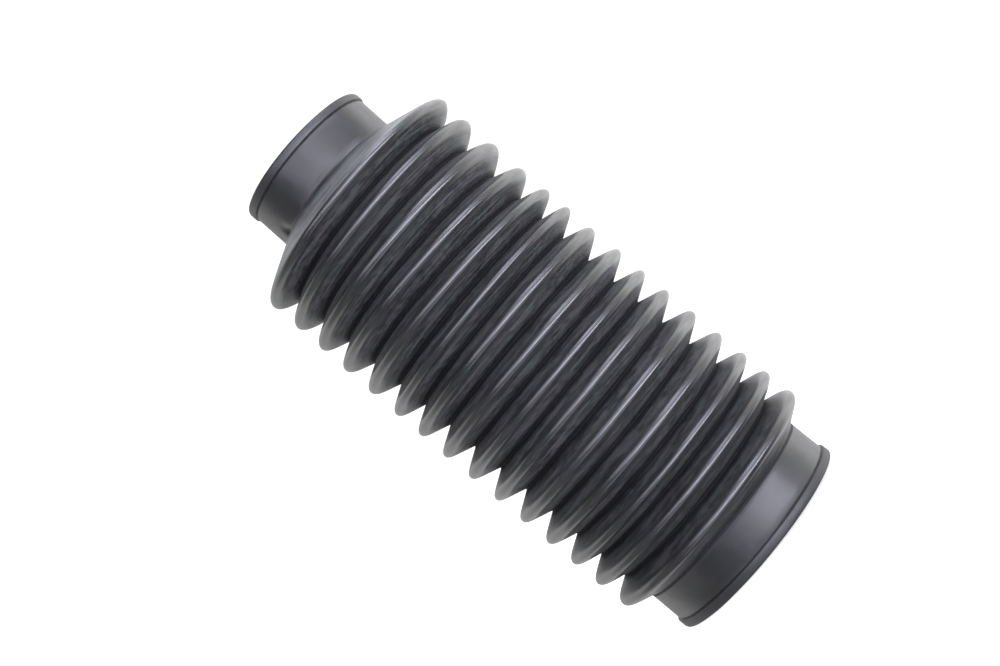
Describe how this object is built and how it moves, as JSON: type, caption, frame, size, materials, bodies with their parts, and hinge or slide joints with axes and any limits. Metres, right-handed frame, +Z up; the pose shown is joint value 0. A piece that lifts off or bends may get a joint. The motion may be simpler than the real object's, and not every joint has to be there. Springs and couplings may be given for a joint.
{
  "type": "fork gaiter",
  "caption": "Moulded rubber bellows with a wide plain collar at the bottom and a narrow one at the top, open right through, that shields a motorcycle fork leg.",
  "frame": {"origin": "centre of the wide collar's open end, which is the plane the gaiter stands on", "axes": "+Z up the gaiter's own axis, from the wide collar to the narrow collar; X and Y are alike, since it is a body of revolution"},
  "size_m": [0.0718, 0.0718, 0.1593],
  "materials": {
    "black_rubber": "satin"
  },
  "bodies": {
    "root": {"rubber_gaiter": "black_rubber"}
  },
  "joints": []
}
